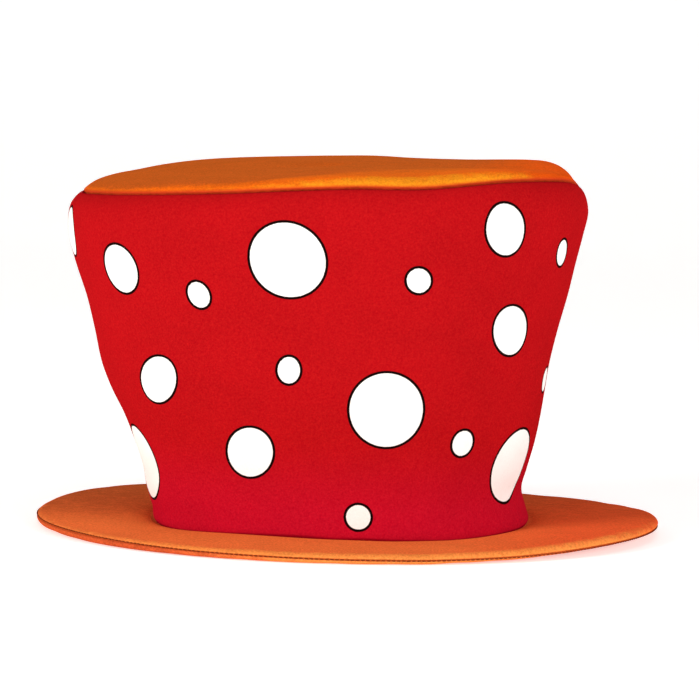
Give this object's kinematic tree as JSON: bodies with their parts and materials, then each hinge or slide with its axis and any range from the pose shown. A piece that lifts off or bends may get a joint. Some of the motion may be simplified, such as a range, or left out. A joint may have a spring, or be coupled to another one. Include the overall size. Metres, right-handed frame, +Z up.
{
  "type": "clown top hat",
  "caption": "Soft clown top hat: a red crown side that flares up to a rolled shoulder, an orange padded flat top and a flat oval orange brim with a padded, seamed edge.",
  "frame": {"origin": "on the surface the hat stands on, under the middle of the brim's bounding box", "axes": "+Z up, +X along the long axis of the head opening towards the right of the picture, -Y towards the picture's camera; the hat is seen from its side and either end of X can be worn to the front"},
  "size_m": [0.3334, 0.3044, 0.1974],
  "materials": {
    "orange_cloth": "brushed knit over thin foam, matt with a slight sheen",
    "red_dotted_cloth": "brushed knit over thin foam, matt, printed with white dots that have a thin dark outline"
  },
  "bodies": {
    "root": {"brim": "orange_cloth", "crown_side": "red_dotted_cloth", "crown_top": "orange_cloth"}
  },
  "joints": []
}
